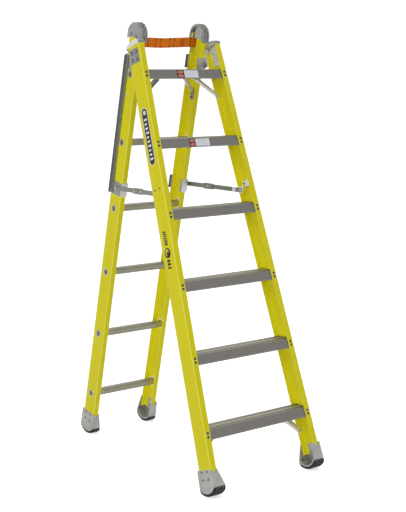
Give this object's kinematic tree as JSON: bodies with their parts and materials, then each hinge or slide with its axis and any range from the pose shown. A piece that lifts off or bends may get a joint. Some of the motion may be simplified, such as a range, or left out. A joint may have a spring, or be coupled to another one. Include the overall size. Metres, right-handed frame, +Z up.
{
  "type": "multi position ladder",
  "caption": "Fibreglass multi position ladder: tapered stepped front section, hinged guide frame and a sliding rung section, with folding spreaders and rubber-soled boots.",
  "frame": {"origin": "centre of the whole ladder's footprint, on the floor", "axes": "+X to the user's right across the steps, -Y to the side the steps face, +Z up"},
  "size_m": [0.6158, 1.1674, 1.9078],
  "materials": {
    "black_rubber": "black ribbed rubber",
    "bright_steel": "zinc-plated pressed steel",
    "cast_aluminium": "matt cast and pressed boot metal",
    "dark_steel": "dark grey plated steel",
    "guard_grey": "grey moulded plastic",
    "orange_webbing": "orange woven webbing",
    "rail_yellow": "yellow fibreglass rail, satin pultruded surface",
    "spreader_steel": "olive-grey passivated steel",
    "step_aluminium": "mill-finish extruded aluminium, dull"
  },
  "bodies": {
    "front_section": {"bottom_step_brace_left": "bright_steel", "bottom_step_brace_right": "bright_steel", "front_foot_left": "cast_aluminium", "front_foot_pad_left": "black_rubber", "front_foot_pad_right": "black_rubber", "front_foot_right": "cast_aluminium", "front_rail_left": "rail_yellow", "front_rail_right": "rail_yellow", "front_step_1": "step_aluminium", "front_step_2": "step_aluminium", "front_step_3": "step_aluminium", "front_step_4": "step_aluminium", "front_step_5": "step_aluminium", "front_step_6": "step_aluminium", "hinge_pin_left": "bright_steel", "hinge_pin_right": "bright_steel", "hinge_plate_left": "dark_steel", "hinge_plate_right": "dark_steel", "spreader_bracket_left": "bright_steel", "spreader_bracket_right": "bright_steel", "spreader_front_pin_left": "bright_steel", "spreader_front_pin_right": "bright_steel", "top_hinge_bracket_left": "bright_steel", "top_hinge_bracket_right": "bright_steel", "top_step_brace_left": "bright_steel", "top_step_brace_right": "bright_steel"},
    "guide_frame": {"guide_link_left": "dark_steel", "guide_link_right": "dark_steel", "lower_guide_left": "bright_steel", "lower_guide_right": "bright_steel", "spreader_rear_pin_left": "bright_steel", "spreader_rear_pin_right": "bright_steel", "upper_guide_left": "bright_steel", "upper_guide_right": "bright_steel"},
    "rear_section": {"mar_guard_left": "guard_grey", "mar_guard_right": "guard_grey", "pole_strap": "orange_webbing", "rear_brace_left": "bright_steel", "rear_brace_right": "bright_steel", "rear_foot_left": "cast_aluminium", "rear_foot_pad_left": "black_rubber", "rear_foot_pad_right": "black_rubber", "rear_foot_right": "cast_aluminium", "rear_rail_left": "rail_yellow", "rear_rail_right": "rail_yellow", "rung_1": "step_aluminium", "rung_2": "step_aluminium", "rung_3": "step_aluminium", "rung_4": "step_aluminium", "rung_5": "step_aluminium", "rung_6": "step_aluminium", "strap_bar_left": "bright_steel", "strap_bar_right": "bright_steel"},
    "front_arm_left": {"spreader_front_left": "spreader_steel"},
    "front_arm_right": {"spreader_front_right": "spreader_steel"},
    "rear_arm_left": {"spreader_rear_left": "spreader_steel"},
    "rear_arm_right": {"spreader_rear_right": "spreader_steel"}
  },
  "joints": [
    {"name": "frame_fold", "type": "hinge", "parent": "front_section", "child": "guide_frame", "pos_m": [0, 0.0934, 1.72682], "axis": [1, 0, 0], "range_deg": [-31.46, 0]},
    {"name": "rear_slide", "type": "slide", "parent": "guide_frame", "child": "rear_section", "axis": [0, -0.2215, 0.9751], "range_m": [0, 0.9144]},
    {"name": "front_arm_left_turn", "type": "hinge", "parent": "front_section", "child": "front_arm_left", "pos_m": [0, -0.14075, 1.18348], "axis": [1, 0, 0], "range_deg": [0, 45.1]},
    {"name": "rear_arm_left_turn", "type": "hinge", "parent": "guide_frame", "child": "rear_arm_left", "pos_m": [0, 0.25191, 1.18713], "axis": [1, 0, 0], "range_deg": [-82.1, 0]},
    {"name": "front_arm_right_turn", "type": "hinge", "parent": "front_section", "child": "front_arm_right", "pos_m": [0, -0.14075, 1.18348], "axis": [1, 0, 0], "range_deg": [0, 45.1]},
    {"name": "rear_arm_right_turn", "type": "hinge", "parent": "guide_frame", "child": "rear_arm_right", "pos_m": [0, 0.25191, 1.18713], "axis": [1, 0, 0], "range_deg": [-82.1, 0]}
  ],
  "couplings": [
    {"joint": "front_arm_left_turn", "follows": "frame_fold", "ratio": -1.4331},
    {"joint": "rear_arm_left_turn", "follows": "frame_fold", "ratio": 2.609},
    {"joint": "front_arm_right_turn", "follows": "frame_fold", "ratio": -1.4331},
    {"joint": "rear_arm_right_turn", "follows": "frame_fold", "ratio": 2.609}
  ]
}
